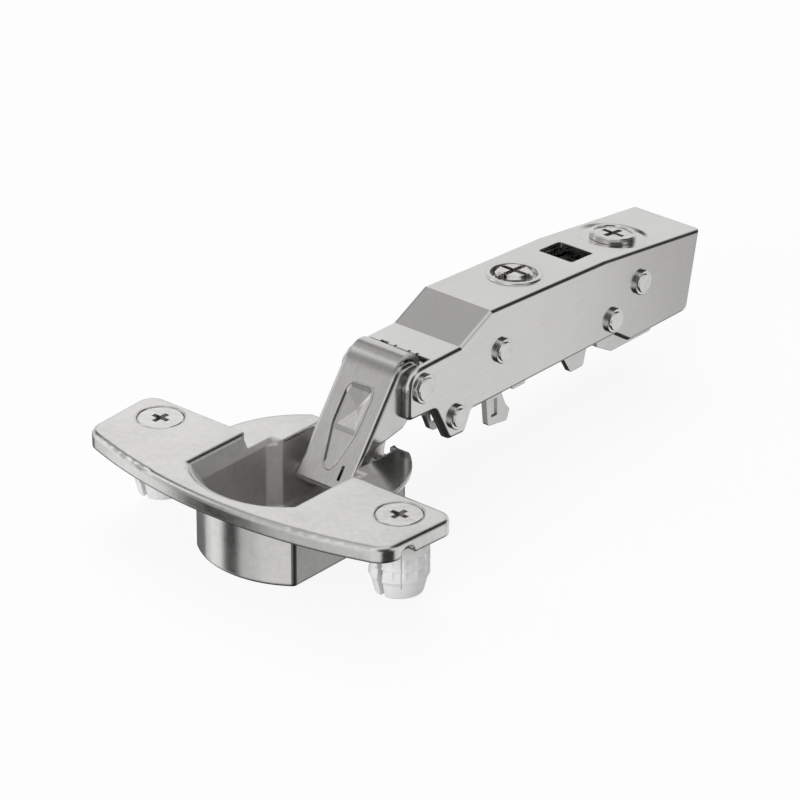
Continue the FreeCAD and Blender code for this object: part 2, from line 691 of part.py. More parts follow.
rod = Part.makeCylinder(rod_radius, damper_start + 6.0 - rod_tip, Vector(0, rod_tip, damper_axis_z), along)
pad = Part.makeCylinder(1.7, 1.4, Vector(0, rod_tip, damper_axis_z), along)
pad = round_edges(pad, 0.4, lambda e: abs(e.BoundBox.YMax - rod_tip) < 0.01)
write("damper_rod", rod.fuse(pad).removeSplitter())

# cabinet adapter: hooked cheeks and a web that follows the arm's top
adapter_top = [(y, z - adapter_drop) for y, z in arm_top]
web_corner = (adapter_cheek_end, height_on(adapter_top, adapter_cheek_end))
adapter_cheek = [
    (39.2, 4.6, 0.8), (39.6, -1.0), (40.1, -5.8, 0.6), (45.1, -6.5, 0.5), (45.8, -4.6, 0.4),
    (44.7, -3.3, 0.3), (43.5, -0.5, 0.5), (46.2, -0.4), (46.6, -1.3, 0.3), (49.8, -1.3, 0.3),
    (50.2, -0.4), (60.0, -0.4), (60.8, -1.6), (62.2, -3.9, 0.4), (65.6, -3.9, 0.5), (66.1, -2.0),
    (adapter_cheek_end, -0.4, 0.3), web_corner,
    (adapter_front, height_on(adapter_top, adapter_front)), (adapter_front - 1.2, 4.6, 1.0)]
cheeks = pair(adapter_cheek, clip_plane - clip_sheet, clip_plane)
web_front = [(adapter_front, height_on(adapter_top, adapter_front)), web_corner]
web_rear = [web_corner, adapter_top[3], (adapter_rear, height_on(adapter_top, adapter_rear))]
adapter = cheeks[0].fuse([
    cheeks[1], side_plate(web_front + shifted(web_front, clip_sheet)[::-1], -clip_plane, clip_plane),
    side_plate(web_rear + shifted(web_rear, clip_sheet)[::-1], -tongue_half, tongue_half)])
way_half = 2.25
way_start = Vector(-way_half, side_screw_y - way_half - depth_travel, side_surface - 8)
screw_way = Part.makeBox(2 * way_half, 2 * (way_half + depth_travel), 8, way_start)
light_half = window_half + 0.1
light_way = Part.makeBox(2 * light_half, window_length + 3.0, 8,
                         Vector(-light_half, window_front - 1.5, 8.0))
follower = placed(Part.makeCylinder(follower_radius, 1.6, Vector(0, -groove_middle, -adapter_drop - 0.3)),
                  cam_place)
adapter = adapter.cut([screw_way, light_way]).fuse(follower)
for side in (-1, 1):
    low, high = sorted((side * (clip_plane - panel_depth), side * (clip_plane + 1)))
    adapter = adapter.cut(Part.makeBox(high - low, 1.5, 3.2, Vector(low, 41.0, -4.5)))
write("adapter", adapter)

# sprung clip lever at the rear, its travel stopped by a curved slot on a rivet
clip_cheek = [(clip_front, -1.8, 0.5), (73.3, -4.0, 1.0), (84.0, -4.0, 0.8), (86.0, clip_low, 0.8),
              (clip_rear, clip_low), (clip_rear, clip_high), (84.0, 8.3, 1.0), (81.0, 8.8, 0.8),
              (77.8, 8.7, 0.8), (74.5, 7.0, 1.0), (clip_front, 6.4, 1.0)]
stop_angle = math.degrees(math.atan2(clip_stop[1] - clip_axle[1], clip_stop[0] - clip_axle[0]))
stop_reach = math.hypot(clip_stop[1] - clip_axle[1], clip_stop[0] - clip_axle[0])
slot_half = rivet_radius + 0.15
slot_end = polar(clip_axle, stop_reach, stop_angle - clip_swing)
stop_slot = ring_sector(clip_axle, stop_reach - slot_half, stop_reach + slot_half, stop_angle,
                        stop_angle - clip_swing, -20, 20)
stop_slot = stop_slot.fuse([across(clip_stop, slot_half, -20, 20), across(slot_end, slot_half, -20, 20)])
clip_cheeks = pair(clip_cheek, clip_plane - clip_sheet, clip_plane)
back_plate = Part.makeBox(2 * clip_plane, clip_sheet, clip_high - clip_low,
                          Vector(-clip_plane, clip_rear - clip_sheet, clip_low))
clip_lever = clip_cheeks[0].fuse([clip_cheeks[1], back_plate])
clip_lever = clip_lever.cut([stop_slot, across(clip_axle, rivet_radius + running_gap, -20, 20)])
write("clip_lever", clip_lever)

# side adjusting screw: four-lobed head in its hole, shank and foot plate below
side_foot = -adapter_drop - 2.2
side_screw = turned([
    (0, side_lobe_height), (side_head_radius - 0.6, side_lobe_height),
    (side_head_radius, side_lobe_height - 0.5), (side_head_radius, -0.45),
    (side_hole_radius - running_gap, -0.55), (side_hole_radius - running_gap, -1.25), (2.0, -1.25),
    (2.0, side_foot + 0.75), (3.0, side_foot + 0.75), (3.0, side_foot), (0, side_foot)])
side_screw = side_screw.cut(cross_recess(5.0, 1.0, 1.3, side_lobe_height))
for count in range(4):
    lobe_gap = Part.makeCylinder(1.1, 2.0, Vector(side_head_radius + 0.35, 0, -0.4))
    lobe_gap.rotate(Vector(0, 0, 0), Vector(0, 0, 1), 90.0 * count)
    side_screw = side_screw.cut(lobe_gap)
write("side_screw", placed(side_screw, side_place))

# depth cam: head in the dish, a plate below with a spiral groove for the adapter's follower
groove_rate = depth_travel * math.cos(math.radians(cam_tilt)) / cam_swing
groove_half = follower_radius + follower_gap


def spiral(offset):
    points = []
    for step in range(25):
        turn = cam_swing * (2 * step / 24 - 1)
        y, z = polar((0, 0), groove_middle + groove_rate * turn + offset, turn - 90)
        points.append(Vector(y, z, 0))
    curve = Part.BSplineCurve()
    curve.interpolate(points)
    return curve.toShape(), points


outer_edge, outer_points = spiral(groove_half)
inner_edge, inner_points = spiral(-groove_half)
groove_wire = Part.Wire([outer_edge, Part.LineSegment(outer_points[-1], inner_points[-1]).toShape(),
                         inner_edge, Part.LineSegment(inner_points[0], outer_points[0]).toShape()])
plate_top = -arm_sheet - 0.1
plate_bottom = plate_top - 1.0
groove_depth = 0.75
groove = Part.Face(groove_wire).extrude(Vector(0, 0, groove_depth))
for turn in (-cam_swing, cam_swing):
    y, z = polar((0, 0), groove_middle + groove_rate * turn, turn - 90)
    groove = groove.fuse(Part.makeCylinder(groove_half, groove_depth, Vector(y, z, 0)))
groove.translate(Vector(0, 0, plate_bottom - 0.01))
cam_face = cam_ring_height - 0.25
cam_seat = running_gap - dish_depth
depth_cam = turned([
    (0, cam_face), (cam_head_radius - 0.8, cam_face), (cam_head_radius - 0.7, cam_ring_height),
    (cam_head_radius - 0.2, cam_ring_height), (cam_head_radius, cam_ring_height - 0.2),
    (cam_head_radius, cam_seat), (cam_shank_radius, cam_seat), (cam_shank_radius, plate_top),
    (cam_plate_radius, plate_top), (cam_plate_radius, plate_bottom), (0, plate_bottom)])
depth_cam = depth_cam.cut([cross_recess(4.4, 1.0, 1.1, cam_face), groove])
write("depth_cam", placed(depth_cam, cam_place))
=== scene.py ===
import math

import bpy
from mathutils import Matrix, Vector


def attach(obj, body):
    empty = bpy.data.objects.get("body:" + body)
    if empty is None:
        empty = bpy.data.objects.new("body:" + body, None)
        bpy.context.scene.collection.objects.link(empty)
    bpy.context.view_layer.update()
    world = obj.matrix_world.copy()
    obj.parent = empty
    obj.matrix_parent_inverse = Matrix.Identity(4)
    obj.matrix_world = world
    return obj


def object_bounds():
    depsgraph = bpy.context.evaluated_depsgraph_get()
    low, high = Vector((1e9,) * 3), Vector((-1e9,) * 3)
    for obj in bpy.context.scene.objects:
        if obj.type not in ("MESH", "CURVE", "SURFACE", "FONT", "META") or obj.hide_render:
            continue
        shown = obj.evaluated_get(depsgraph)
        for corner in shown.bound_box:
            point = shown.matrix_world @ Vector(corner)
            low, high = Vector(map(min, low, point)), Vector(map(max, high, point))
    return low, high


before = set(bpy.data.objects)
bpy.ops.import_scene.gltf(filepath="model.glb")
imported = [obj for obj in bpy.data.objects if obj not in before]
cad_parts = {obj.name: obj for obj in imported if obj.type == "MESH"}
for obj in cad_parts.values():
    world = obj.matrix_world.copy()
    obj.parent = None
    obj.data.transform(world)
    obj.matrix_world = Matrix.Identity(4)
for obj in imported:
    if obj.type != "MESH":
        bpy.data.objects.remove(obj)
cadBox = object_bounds()
print("frame loaded:", len(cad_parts), "nodes")

mm = 0.001


# colour and node helpers
def hexToLinear(code):
    values = [int(code[i:i + 2], 16) / 255 for i in (1, 3, 5)]
    linear = [v / 12.92 if v <= 0.04045 else ((v + 0.055) / 1.055) ** 2.4 for v in values]
    return tuple(linear) + (1.0,)


def setStops(ramp, stops):
    while len(ramp.elements) < len(stops):
        ramp.elements.new(0.5)
    for element, (position, colour) in zip(ramp.elements, stops):
        element.position = position
        element.color = hexToLinear(colour)


def addNode(tree, kind, settings=None, **sockets):
    # settings are the node's own properties, or the stops of a colour ramp
    # sockets are values or links by input name, or by input number as _0, _1 and so on
    node = tree.nodes.new(kind)
    for name, value in (settings or {}).items():
        if name == "stops":
            setStops(node.color_ramp, value)
        else:
            setattr(node, name, value)
    for name, value in sockets.items():
        socket = node.inputs[int(name[1:])] if name[0] == "_" else node.inputs[name.replace("_", " ")]
        if isinstance(value, bpy.types.NodeSocket):
            tree.links.new(value, socket)
        else:
            socket.default_value = value
    return node


def newMaterial(name):
    material = bpy.data.materials.new(name)
    material.use_nodes = True
    tree = material.node_tree
    tree.nodes.clear()
    output = tree.nodes.new("ShaderNodeOutputMaterial")
    return material, tree, output


# a value that varies over a piece, so that patterns and areas are written as plain arithmetic
class patternValue:
    def __init__(self, tree, socket):
        self.tree = tree
        self.socket = socket

    def calc(self, operation, *others):
        values = [self.socket] + [getattr(other, "socket", other) for other in others]
        inputs = {"_%d" % index: value for index, value in enumerate(values)}
        node = addNode(self.tree, "ShaderNodeMath", {"operation": operation}, **inputs)
        return patternValue(self.tree, node.outputs[0])

    def __add__(self, other):
        return self.calc("ADD", other)

    def __sub__(self, other):
        return self.calc("SUBTRACT", other)

    def __mul__(self, other):
        return self.calc("MULTIPLY", other)

    def __abs__(self):
        return self.calc("ABSOLUTE")

    # comparisons give 1 inside an area and 0 outside it: "and" is a product, "or" the larger of the two
    def __lt__(self, other):
        return self.calc("LESS_THAN", other)

    def __gt__(self, other):
        return self.calc("GREATER_THAN", other)

    def __or__(self, other):
        return self.calc("MAXIMUM", other)

    def rise(self, start, end):
        # 0 up to the start, 1 from the end on, and smooth between them
        node = addNode(self.tree, "ShaderNodeMapRange", {"interpolation_type": "SMOOTHSTEP"},
                       Value=self.socket, From_Min=start, From_Max=end, To_Min=0.0, To_Max=1.0)
        return patternValue(self.tree, node.outputs[0])


def placeInMm(tree):
    place = addNode(tree, "ShaderNodeTexCoord").outputs["Object"]
    scaled = addNode(tree, "ShaderNodeVectorMath", {"operation": "SCALE"}, _0=place, Scale=1 / mm).outputs[0]
    parts = addNode(tree, "ShaderNodeSeparateXYZ", None, Vector=scaled).outputs
    return [patternValue(tree, part) for part in parts]


# an area of a finish that is darker or duller than the rest: most of these areas are painted shade, while the
# seam and the cup's matt inside are real
def paintedShadeAndDullArea(material, findArea, look):
    tree = material.node_tree
    shader = next(node for node in tree.nodes if node.type == "BSDF_PRINCIPLED")
    area = findArea(look, *placeInMm(tree))
    colour = shader.inputs["Base Color"].links[0].from_socket
    finish = shader.inputs["Roughness"].links[0].from_socket
    share = area * (look["shade"] - 1) + 1.0
    shaded = addNode(tree, "ShaderNodeVectorMath", {"operation": "SCALE"}, _0=colour,
                     Scale=share.socket).outputs[0]
    dulled = addNode(tree, "ShaderNodeMix", {"data_type": "FLOAT"}, _0=area.socket, _2=finish,
                     _3=look["roughness"]).outputs[0]
    tree.links.new(shaded, shader.inputs["Base Color"])
    tree.links.new(dulled, shader.inputs["Roughness"])
    if "metallic" in look:
        metal = area * (look["metallic"] - 1) + 1.0
        tree.links.new(metal.socket, shader.inputs["Metallic"])


# the part of each noise's range that holds nearly all of its values
noiseRange = {"low": 0.3, "middle": 0.5, "high": 0.7}

# one plated metal recipe, shared by the nickel finishes below
platingMix = {"streaks": 0.45, "clouds": 0.55, "edgeSamples": 6}


def platedMetal(name, look):
    material, tree, output = newMaterial(name)
    place = addNode(tree, "ShaderNodeTexCoord").outputs["Object"]
    # streaks from rolling or tumbling run along the piece, so the noise is squeezed across it
    streakScale = [1 / (size * mm) for size in look["streakMm"]]
    stretched = addNode(tree, "ShaderNodeMapping", None, Vector=place, Scale=streakScale).outputs[0]
    streakNoise = addNode(tree, "ShaderNodeTexNoise", None, Vector=stretched, Scale=1.0, Detail=4.0,
                          Roughness=0.6).outputs["Fac"]
    cloudNoise = addNode(tree, "ShaderNodeTexNoise", None, Vector=place, Scale=1 / (look["cloudMm"] * mm),
                         Detail=3.0, Roughness=0.55).outputs["Fac"]
    # the real grit is a few hundredths of a millimetre: it is drawn coarser, so that it shows
    grit = addNode(tree, "ShaderNodeTexNoise", None, Vector=place, Scale=1 / (look["gritMm"] * mm),
                   Detail=2.0, Roughness=0.7).outputs["Fac"]
    streaks, clouds = patternValue(tree, streakNoise), patternValue(tree, cloudNoise)
    tone = streaks * platingMix["streaks"] + clouds * platingMix["clouds"]
    stops = [(noiseRange["low"], look["dark"]), (noiseRange["middle"], look["middle"]),
             (noiseRange["high"], look["light"])]
    colour = addNode(tree, "ShaderNodeValToRGB", {"stops": stops}, Fac=tone.socket).outputs["Color"]
    finish = addNode(tree, "ShaderNodeMapRange", None, Value=tone.socket,
                     From_Min=noiseRange["low"], From_Max=noiseRange["high"],
                     To_Min=look["roughness"] - look["roughnessSpread"],
                     To_Max=look["roughness"] + look["roughnessSpread"]).outputs[0]
    height = streaks * look["streakShare"] + patternValue(tree, grit)
    # folds and edges are a little rounder than the sharp lines between the faces
    soft = addNode(tree, "ShaderNodeBevel", {"samples": platingMix["edgeSamples"]},
                   Radius=look["softMm"] * mm).outputs[0]
    bump = addNode(tree, "ShaderNodeBump", None, Height=height.socket, Strength=look["bump"],
                   Distance=look["bumpMm"] * mm, Normal=soft).outputs[0]
    shader = addNode(tree, "ShaderNodeBsdfPrincipled", None, Base_Color=colour, Metallic=1.0,
                     Roughness=finish, Normal=bump)
    tree.links.new(shader.outputs[0], output.inputs["Surface"])
    return material


# zinc die casting, nickel plated: a little soft and cloudy, with no direction
castZinc = platedMetal("nickelPlatedZincCasting", {
    "dark": "#CAC9C7", "middle": "#D8D7D5", "light": "#E3E2E0",
    "roughness": 0.17, "roughnessSpread": 0.04,
    "streakMm": (1.2, 1.2, 1.2), "streakShare": 0.5, "cloudMm": 9.0, "gritMm": 0.2,
    "bump": 0.12, "bumpMm": 0.04, "softMm": 0.6})

# inside the cup the casting is as it left the die, matt where the tumbling didn't reach
# sizes in mm: the opening widens upwards from flareStart, and narrows between the ears at the rear
cupInsideLook = {"shade": 1.0, "roughness": 0.42, "metallic": 0.7,
                 "radius": 16.8, "half": 10.1, "flareStart": -0.3, "flareSlope": 0.62, "top": 2.35,
                 "earStart": 4.7, "earHalf": 8.2, "earTop": -0.1}


def cupInside(look, x, y, z):
    reach = (x * x + y * y).calc("SQRT")
    flare = (z - look["flareStart"]).calc("MAXIMUM", 0.0)
    front = (reach < flare + look["radius"]) * (abs(x) < flare * look["flareSlope"] + look["half"])
    front = front * (z < look["top"]) * (y < look["earStart"])
    rear = (reach < look["radius"]) * (abs(x) < look["earHalf"]) * (z < look["earTop"])
    return front | rear


# painted shade, meant for the inside of the small arch at each end, darkens a strip of the flange's underside
# beside it
archLook = {"shade": 0.12, "roughness": 0.5, "y": -11.4, "z": -0.15, "radius": 1.68,
            "start": 26.0, "end": 31.3}


def archShade(look, x, y, z):
    fromY, fromZ = y - look["y"], z - look["z"]
    reach = (fromY * fromY + fromZ * fromZ).calc("SQRT")
    return (reach < look["radius"]) * (abs(x) > look["start"]) * (abs(x) < look["end"])


# the cup's upright corners and its bottom edge are painted darker, as painted shade, and show as darker lines
cupEdgeShadeLook = {"shade": 0.3, "roughness": 0.3, "reach": 17.05, "half": 10.3, "top": -0.02, "bottom": -12.5}


def cupEdgeShade(look, x, y, z):
    reach = (x * x + y * y).calc("SQRT")
    corner = (abs(x) > look["half"]) * (reach > look["reach"]) * (z < look["top"])
    return corner | (z < look["bottom"])


# the cup's two flats are painted darker than its round wall, as painted shade, and are made duller
cupFlatShadeLook = {"shade": 0.55, "roughness": 0.34, "half": 10.76, "top": -0.02}


def cupFlatShade(look, x, y, z):
    return (abs(x) > look["half"]) * (z < look["top"])


paintedShadeAndDullArea(castZinc, cupInside, cupInsideLook)
paintedShadeAndDullArea(castZinc, archShade, archLook)
paintedShadeAndDullArea(castZinc, cupEdgeShade, cupEdgeShadeLook)
paintedShadeAndDullArea(castZinc, cupFlatShade, cupFlatShadeLook)

# rolled steel strip, folded and barrel plated: faint streaks along the arm
armSteel = platedMetal("nickelPlatedStripSteel", {
    "dark": "#D4D3D1", "middle": "#DBDAD8", "light": "#E1E0DE",
    "roughness": 0.2, "roughnessSpread": 0.03,
    "streakMm": (0.4, 5.0, 0.4), "streakShare": 0.25, "cloudMm": 14.0, "gritMm": 0.14,
    "bump": 0.09, "bumpMm": 0.03, "softMm": 0.25})

# the arm's cheeks are painted darker towards the rear, a painted shade, and grow a little duller there
cheekShadeLook = {"shade": 0.72, "roughness": 0.24, "half": 7.5, "start": 50.0, "end": 100.0}


def armCheekShade(look, x, y, z):
    return (abs(x) > look["half"]) * y.rise(look["start"], look["end"])


paintedShadeAndDullArea(armSteel, armCheekShade, cheekShadeLook)

# pressed lever steel: the press leaves it a touch duller and greyer than the arm
leverSteel = platedMetal("nickelPlatedPressedSteel", {
    "dark": "#C6C5C3", "middle": "#D0CFCD", "light": "#D8D7D5",
    "roughness": 0.22, "roughnessSpread": 0.04,
    "streakMm": (0.4, 2.0, 2.0), "streakShare": 0.25, "cloudMm": 6.0, "gritMm": 0.15,
    "bump": 0.12, "bumpMm": 0.03, "softMm": 0.15})

# the outer lever leans, so places on its web are measured along it, in mm from this origin
leverPlace = {"originY": 12.1, "originZ": 5.1, "leanDegrees": 53.8}
leverLean = math.radians(leverPlace["leanDegrees"])


def alongLever(y, z):
    return (y - leverPlace["originY"]) * math.cos(leverLean) + (z - leverPlace["originZ"]) * math.sin(leverLean)


# the crease where the web meets the curl is painted darker, as painted shade, and is a little duller
creaseShadeLook = {"shade": 0.6, "roughness": 0.26, "start": 7.6, "deepest": 9.2, "end": 10.4}


def leverCreaseShade(look, x, y, z):
    along = alongLever(y, z)
    fall = along.rise(look["deepest"], look["end"]) * -1.0 + 1.0
    return along.rise(look["start"], look["deepest"]) * fall


# in the emboss the left facet of the pyramid and the step at its foot are painted darker, as painted shade
facetShadeLook = {"shade": 0.74, "roughness": 0.26, "middleX": 0.33, "middleAlong": 1.45, "slope": 1.5,
             "left": -2.3, "footLow": -3.1, "footHigh": -2.1, "footHalf": 2.2}


def embossFacetShade(look, x, y, z):
    along = alongLever(y, z)
    width = (x - look["middleX"]) * -look["slope"]
    left = (abs(along - look["middleAlong"]) < width) * (x > look["left"])
    foot = (along > look["footLow"]) * (along < look["footHigh"]) * (abs(x) < look["footHalf"])
    return left | foot


# the outer lever's copy of the lever steel, with painted shade in its crease and emboss
paintedShadeLever = leverSteel.copy()
paintedShadeLever.name = "nickelPlatedLeverWithPaintedShade"
paintedShadeAndDullArea(paintedShadeLever, leverCreaseShade, creaseShadeLook)
paintedShadeAndDullArea(paintedShadeLever, embossFacetShade, facetShadeLook)

# turned and headed pins: smooth, bright ends
pinSteel = platedMetal("nickelPlatedPinSteel", {
    "dark": "#CDCCCA", "middle": "#DCDBD9", "light": "#E8E7E5",
    "roughness": 0.18, "roughnessSpread": 0.04,
    "streakMm": (3.0, 0.4, 0.4), "streakShare": 0.4, "cloudMm": 3.0, "gritMm": 0.15,
    "bump": 0.08, "bumpMm": 0.03, "softMm": 0.05})

# headed screws, bright plated, with fine wear in the recess
screwSteel = platedMetal("brightNickelScrewSteel", {
    "dark": "#C5C4C2", "middle": "#DAD9D7", "light": "#EBEAE8",
    "roughness": 0.17, "roughnessSpread": 0.05,
    "streakMm": (0.8, 0.8, 0.3), "streakShare": 0.6, "cloudMm": 2.5, "gritMm": 0.15,
    "bump": 0.12, "bumpMm": 0.04, "softMm": 0.1})

# drawn spring wire: dark and oily, drawn along its length
springWire = platedMetal("drawnSpringWire", {
    "dark": "#4E4D4B", "middle": "#6C6A67", "light": "#8B8986",
    "roughness": 0.3, "roughnessSpread": 0.08,
    "streakMm": (0.3, 2.0, 2.0), "streakShare": 0.9, "cloudMm": 2.0, "gritMm": 0.1,
    "bump": 0.15, "bumpMm": 0.03, "softMm": 0.05})


# one moulded plastic recipe: soft clouds from the flow in the mould, and a fine grain
def mouldedPlastic(name, look):
    material, tree, output = newMaterial(name)
    place = addNode(tree, "ShaderNodeTexCoord").outputs["Object"]
    flow = addNode(tree, "ShaderNodeTexNoise", None, Vector=place, Scale=1 / (look["flowMm"] * mm),
                   Detail=3.0, Roughness=0.5).outputs["Fac"]
    # the mould's own grain is finer too, and drawn coarser
    grain = addNode(tree, "ShaderNodeTexNoise", None, Vector=place, Scale=1 / (look["grainMm"] * mm),
                    Detail=2.0, Roughness=0.6).outputs["Fac"]
    stops = [(noiseRange["low"], look["dark"]), (noiseRange["high"], look["light"])]
    colour = addNode(tree, "ShaderNodeValToRGB", {"stops": stops}, Fac=flow).outputs["Color"]
    finish = addNode(tree, "ShaderNodeMapRange", None, Value=flow,
                     From_Min=noiseRange["low"], From_Max=noiseRange["high"],
                     To_Min=look["roughness"] - look["roughnessSpread"],
                     To_Max=look["roughness"] + look["roughnessSpread"]).outputs[0]
    bump = addNode(tree, "ShaderNodeBump", None, Height=grain, Strength=look["bump"],
                   Distance=look["bumpMm"] * mm).outputs[0]
    shader = addNode(tree, "ShaderNodeBsdfPrincipled", None, Base_Color=colour, Roughness=finish,
                     Normal=bump, IOR=look["ior"], Subsurface_Weight=look["glow"],
                     Subsurface_Radius=look["glowTint"], Subsurface_Scale=look["glowMm"] * mm)
    tree.links.new(shader.outputs[0], output.inputs["Surface"])
    return material


# natural nylon: milky white, light glows a little way into it
naturalNylon = mouldedPlastic("naturalWhiteNylon", {
    "dark": "#E4E5E4", "light": "#F2F3F2", "roughness": 0.38, "roughnessSpread": 0.05, "ior": 1.53,
    "glow": 0.6, "glowTint": (1.0, 1.0, 0.95), "glowMm": 1.5,
    "flowMm": 4.0, "grainMm": 0.2, "bump": 0.15, "bumpMm": 0.04})

# each dowel is moulded split, and its closed seam shows as a dark, slightly wavy line
# sizes in mm, the direction that the seam faces in degrees, the wave's pace in radians per mm
seamLook = {"shade": 0.5, "roughness": 0.6, "dowelX": 26.0, "dowelY": -5.6, "facing": -45.4,
            "halfWidth": 0.08, "waveReach": 0.04, "radiansPerMm": 2.6, "foot": -8.6}


def dowelSeam(look, x, y, z):
    fromX = x - x.calc("SIGN") * look["dowelX"]
    fromY = y - look["dowelY"]
    turn = math.radians(look["facing"])
    # distance from the seam's upright plane, on the side that faces the seam
    across = fromX * -math.sin(turn) + fromY * math.cos(turn)
    ahead = fromX * math.cos(turn) + fromY * math.sin(turn)
    wave = (z * look["radiansPerMm"]).calc("SINE") * look["waveReach"]
    return (abs(across + wave) < look["halfWidth"]) * (ahead > 0.0) * (z > look["foot"])


paintedShadeAndDullArea(naturalNylon, dowelSeam, seamLook)

# acetal of the bobbin and the damper: dense grey with a waxy gloss
greyAcetal = mouldedPlastic("greyAcetal", {
    "dark": "#4A4C4E", "light": "#56585A", "roughness": 0.4, "roughnessSpread": 0.05, "ior": 1.48,
    "glow": 0.0, "glowTint": (1.0, 1.0, 0.95), "glowMm": 1.5,
    "flowMm": 4.0, "grainMm": 0.2, "bump": 0.15, "bumpMm": 0.04})

finishOf = {
    "cup": castZinc, "cup_pin_outer": pinSteel, "cup_pin_inner": pinSteel,
    "cup_screw_left": screwSteel, "cup_screw_right": screwSteel,
    "dowel_left": naturalNylon, "dowel_right": naturalNylon,
    "outer_lever": paintedShadeLever, "inner_lever": leverSteel,
    "arm": armSteel, "liner_left": leverSteel, "liner_right": leverSteel,
    "outer_axle": pinSteel, "inner_axle": pinSteel, "spring_rivet": pinSteel,
    "clip_stop_rivet": pinSteel, "clip_axle": pinSteel,
    "closing_spring": springWire, "clip_spring": springWire,
    "spring_bobbin": greyAcetal, "damper_cylinder": greyAcetal, "damper_rod": pinSteel,
    "adapter": leverSteel, "clip_lever": leverSteel,
    "side_screw": screwSteel, "depth_cam": screwSteel,
}
for nodeName, finish in finishOf.items():
    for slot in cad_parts[nodeName].material_slots:
        slot.material = finish
print("finishes set:", len(finishOf))

# the rounded brim that the press leaves round the emboss, as a fine bead along its outline
# points are across the web and along it; a corner's round takes cutShare of a side at most
brimSetup = {
    "outlineMm": [(-2.2, 5.2), (2.6, 5.4), (3.0, 3.8), (2.8, -2.8), (1.4, -8.5), (0.4, -10.0),
                  (-1.2, -9.3), (-2.8, -2.1), (-2.8, 3.95)],
    "radiusMm": 0.16, "rings": 4, "sunkMm": 0.05,
    "cornerMm": 0.7, "cutShare": 0.45, "cornerPull": 0.55, "leadMm": 0.1}


def makeBrim(setup):
    along = Vector((0, math.cos(leverLean), math.sin(leverLean)))
    into = Vector((0, math.sin(leverLean), -math.cos(leverLean)))
    origin = Vector((0, leverPlace["originY"], leverPlace["originZ"])) + into * setup["sunkMm"]
    corners = [origin + Vector((x, 0, 0)) + along * s for x, s in setup["outlineMm"]]
    curve = bpy.data.curves.new("embossBrim", "CURVE")
    curve.dimensions = "3D"
    curve.bevel_depth = setup["radiusMm"] * mm
    curve.bevel_resolution = setup["rings"]
    spline = curve.splines.new("BEZIER")
    spline.bezier_points.add(2 * len(corners) - 1)
    for index, corner in enumerate(corners):
        back = corners[index - 1] - corner
        ahead = corners[(index + 1) % len(corners)] - corner
        cut = min(setup["cornerMm"], setup["cutShare"] * back.length, setup["cutShare"] * ahead.length)
        start = corner + back.normalized() * cut
        end = corner + ahead.normalized() * cut
        first, second = spline.bezier_points[2 * index], spline.bezier_points[2 * index + 1]
        first.co, second.co = start * mm, end * mm
        first.handle_left = (start + back.normalized() * setup["leadMm"]) * mm
        first.handle_right = start.lerp(corner, setup["cornerPull"]) * mm
        second.handle_left = end.lerp(corner, setup["cornerPull"]) * mm
        second.handle_right = (end + ahead.normalized() * setup["leadMm"]) * mm
    spline.use_cyclic_u = True
    brim = bpy.data.objects.new("emboss_brim", curve)
    curve.materials.append(leverSteel)
    bpy.context.scene.collection.objects.link(brim)
    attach(brim, "outer_link")


makeBrim(brimSetup)
print("brim of the emboss made")

# camera, solved from the photograph: a long lens from the right and above, angles in degrees, clip in metres
cameraSetup = {"azimuth": 40.628, "elevation": 26.656, "roll": 0.073, "lens": 225.0, "sensor": 36.0,
               "offsetMm": (16.188, 8.578, 814.6), "flangeTopMm": 2.7, "clip": (0.05, 20)}


def placeCamera(setup):
    a, e, r = [math.radians(setup[key]) for key in ("azimuth", "elevation", "roll")]
    right = Vector((math.cos(a), math.sin(a), 0))
    back = Vector((math.sin(a) * math.cos(e), -math.cos(a) * math.cos(e), math.sin(e)))
    up = back.cross(right)
    right, up = right * math.cos(r) + up * math.sin(r), up * math.cos(r) - right * math.sin(r)
    x, y, z = setup["offsetMm"]
    centre = (right * x + up * y + back * z + Vector((0, 0, setup["flangeTopMm"]))) * mm
    data = bpy.data.cameras.new("photoCamera")
    data.lens = setup["lens"]
    data.sensor_width = setup["sensor"]
    data.clip_start, data.clip_end = setup["clip"]
    camera = bpy.data.objects.new("photoCamera", data)
    bpy.context.scene.collection.objects.link(camera)
    camera.matrix_world = Matrix.Translation(centre) @ Matrix((right, up, back)).transposed().to_4x4()
    bpy.context.scene.camera = camera


placeCamera(cameraSetup)

# floor: pale and white to the camera, keeps the shadow, and lets the metal see the tent below it
floorSetup = {"size": 6.0, "paint": "#F4F4F3", "whiteShare": 0.9}


def makeFloor(setup):
    half = setup["size"] / 2
    z = cadBox[0].z
    mesh = bpy.data.meshes.new("studioFloor")
    corners = [(-half, -half, z), (half, -half, z), (half, half, z), (-half, half, z)]
    mesh.from_pydata(corners, [], [(0, 1, 2, 3)])
    floor = bpy.data.objects.new("studioFloor", mesh)
    bpy.context.scene.collection.objects.link(floor)
    material, tree, output = newMaterial("studioFloorPaint")
    rays = addNode(tree, "ShaderNodeLightPath")
    paint = addNode(tree, "ShaderNodeBsdfDiffuse", None, Color=hexToLinear(setup["paint"])).outputs[0]
    glow = addNode(tree, "ShaderNodeEmission", None, Color=(1, 1, 1, 1), Strength=1.0).outputs[0]
    share = patternValue(tree, rays.outputs["Is Camera Ray"]) * setup["whiteShare"]
    seen = addNode(tree, "ShaderNodeMixShader", None, _0=share.socket, _1=paint, _2=glow).outputs[0]
    clear = addNode(tree, "ShaderNodeBsdfTransparent").outputs[0]
    mix = addNode(tree, "ShaderNodeMixShader", None, _0=rays.outputs["Is Glossy Ray"], _1=seen, _2=clear)
    tree.links.new(mix.outputs[0], output.inputs["Surface"])
    mesh.materials.append(material)


makeFloor(floorSetup)

